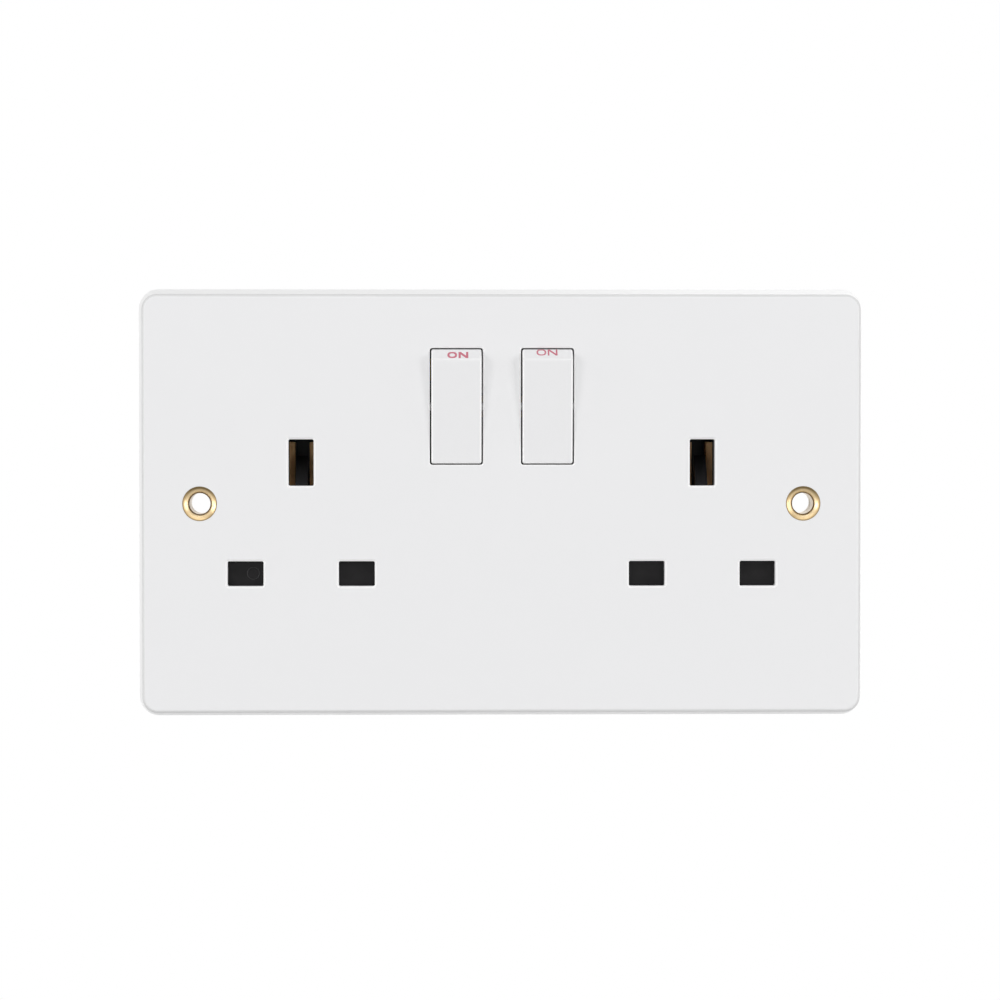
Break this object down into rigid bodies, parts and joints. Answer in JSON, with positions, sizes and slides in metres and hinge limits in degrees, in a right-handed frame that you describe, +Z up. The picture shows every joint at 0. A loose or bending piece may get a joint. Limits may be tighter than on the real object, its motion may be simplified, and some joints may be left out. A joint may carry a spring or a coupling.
{
  "type": "twin switched wall socket",
  "caption": "White twin switched wall socket with square pin slots, shutters, rocker switches and brass eyelets, for screwing to a UK wall box.",
  "frame": {"origin": "middle between the two fixing holes, on the wall's surface", "axes": "+X right and +Z up as seen from the front; the face looks along -Y and the back goes into the wall along +Y"},
  "size_m": [0.146, 0.0271, 0.086],
  "materials": {
    "plate_white": "satin gloss moulded white",
    "rocker_white": "satin gloss moulded white",
    "housing_black": "matt moulded black",
    "shutter_black": "matt moulded black",
    "plunger_nylon": "natural nylon",
    "eyelet_brass": "bright pressed brass",
    "strip_brass": "stamped brass",
    "contact_silver": "silver alloy",
    "spring_steel": "drawn spring steel",
    "zinc_steel": "zinc plated"
  },
  "bodies": {
    "base": {"front_plate": "plate_white", "inner_cover": "housing_black", "rear_housing": "housing_black", "earth_strip": "strip_brass", "neutral_bar": "strip_brass", "live_bar": "strip_brass", "jaw_rivets": "strip_brass", "housing_screws": "zinc_steel", "left_eyelet": "eyelet_brass", "left_shutter_spring": "spring_steel", "left_fixed_contact": "contact_silver", "left_earth_jaws": "strip_brass", "left_neutral_jaws": "strip_brass", "left_live_jaws": "strip_brass", "left_load_strip": "strip_brass", "right_eyelet": "eyelet_brass", "right_shutter_spring": "spring_steel", "right_fixed_contact": "contact_silver", "right_earth_jaws": "strip_brass", "right_neutral_jaws": "strip_brass", "right_live_jaws": "strip_brass", "right_load_strip": "strip_brass", "neutral_terminal": "strip_brass", "neutral_terminal_screw": "zinc_steel", "earth_terminal": "strip_brass", "earth_terminal_screw": "zinc_steel", "live_terminal": "strip_brass", "live_terminal_screw": "zinc_steel"},
    "left_rocker": {"left_rocker": "rocker_white", "left_plunger_spring": "spring_steel"},
    "left_plunger": {"left_plunger": "plunger_nylon"},
    "left_contact_arm": {"left_contact_arm": "strip_brass", "left_moving_contact": "contact_silver"},
    "left_shutter": {"left_shutter": "shutter_black"},
    "right_rocker": {"right_rocker": "rocker_white", "right_plunger_spring": "spring_steel"},
    "right_plunger": {"right_plunger": "plunger_nylon"},
    "right_contact_arm": {"right_contact_arm": "strip_brass", "right_moving_contact": "contact_silver"},
    "right_shutter": {"right_shutter": "shutter_black"}
  },
  "joints": [
    {"name": "left_rocker_tilt", "type": "hinge", "parent": "base", "child": "left_rocker", "pos_m": [-0.0091, -0.0068, 0.0194], "axis": [-1, 0, 0], "range_deg": [0, 11]},
    {"name": "left_arm_tip", "type": "hinge", "parent": "base", "child": "left_contact_arm", "pos_m": [-0.0091, 0.0042, 0.0194], "axis": [1, 0, 0], "range_deg": [0, 18]},
    {"name": "left_plunger_press", "type": "slide", "parent": "left_rocker", "child": "left_plunger", "axis": [0, -0.9954, -0.0958], "range_m": [0, 0.001], "stiffness_N_per_m": 300, "springref_m": -0.001, "deforming": ["left_plunger_spring"]},
    {"name": "left_shutter_slide", "type": "slide", "parent": "base", "child": "left_shutter", "axis": [0, 0, -1], "range_m": [0, 0.0058], "stiffness_N_per_m": 60, "springref_m": -0.002, "deforming": ["left_shutter_spring"]},
    {"name": "right_rocker_tilt", "type": "hinge", "parent": "base", "child": "right_rocker", "pos_m": [0.0091, -0.0068, 0.0194], "axis": [-1, 0, 0], "range_deg": [0, 11]},
    {"name": "right_arm_tip", "type": "hinge", "parent": "base", "child": "right_contact_arm", "pos_m": [0.0091, 0.0042, 0.0194], "axis": [1, 0, 0], "range_deg": [0, 18]},
    {"name": "right_plunger_press", "type": "slide", "parent": "right_rocker", "child": "right_plunger", "axis": [0, -0.9954, -0.0958], "range_m": [0, 0.001], "stiffness_N_per_m": 300, "springref_m": -0.001, "deforming": ["right_plunger_spring"]},
    {"name": "right_shutter_slide", "type": "slide", "parent": "base", "child": "right_shutter", "axis": [0, 0, -1], "range_m": [0, 0.0058], "stiffness_N_per_m": 60, "springref_m": -0.002, "deforming": ["right_shutter_spring"]}
  ],
  "couplings": [
    {"joint": "left_arm_tip", "follows": "left_rocker_tilt", "ratio": 1.6363},
    {"joint": "right_arm_tip", "follows": "right_rocker_tilt", "ratio": 1.6363}
  ]
}
